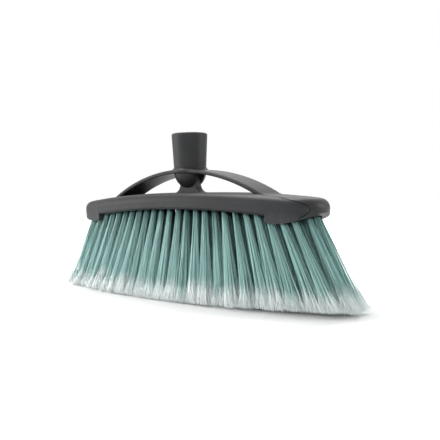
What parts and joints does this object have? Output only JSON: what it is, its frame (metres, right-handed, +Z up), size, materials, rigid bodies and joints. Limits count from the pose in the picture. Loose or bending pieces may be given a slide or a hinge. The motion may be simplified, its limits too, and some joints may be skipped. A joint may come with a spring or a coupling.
{
  "type": "broom head",
  "caption": "Broom head: an arched bow with a tapered handle socket clips over a crowned block with skirted ends, which carries long fanned bristles with split tips.",
  "frame": {"origin": "on the floor, under the middle of the head, in the plane of the bristle tips", "axes": "+X along the head, +Z up the axis of the handle socket, -Y towards the front"},
  "size_m": [0.3624, 0.081, 0.1534],
  "materials": {
    "bow_plastic": "fine satin grain",
    "block_plastic": "fine satin grain",
    "bristle": "soft sheen, paler at the split tips",
    "staple_wire": "drawn flat wire"
  },
  "bodies": {
    "root": {"bow": "bow_plastic", "block": "block_plastic", "tufts_front": "bristle", "tufts_front_inner": "bristle", "tufts_middle": "bristle", "tufts_rear_inner": "bristle", "tufts_rear": "bristle", "anchors_front": "staple_wire", "anchors_front_inner": "staple_wire", "anchors_middle": "staple_wire", "anchors_rear_inner": "staple_wire", "anchors_rear": "staple_wire"}
  },
  "joints": []
}
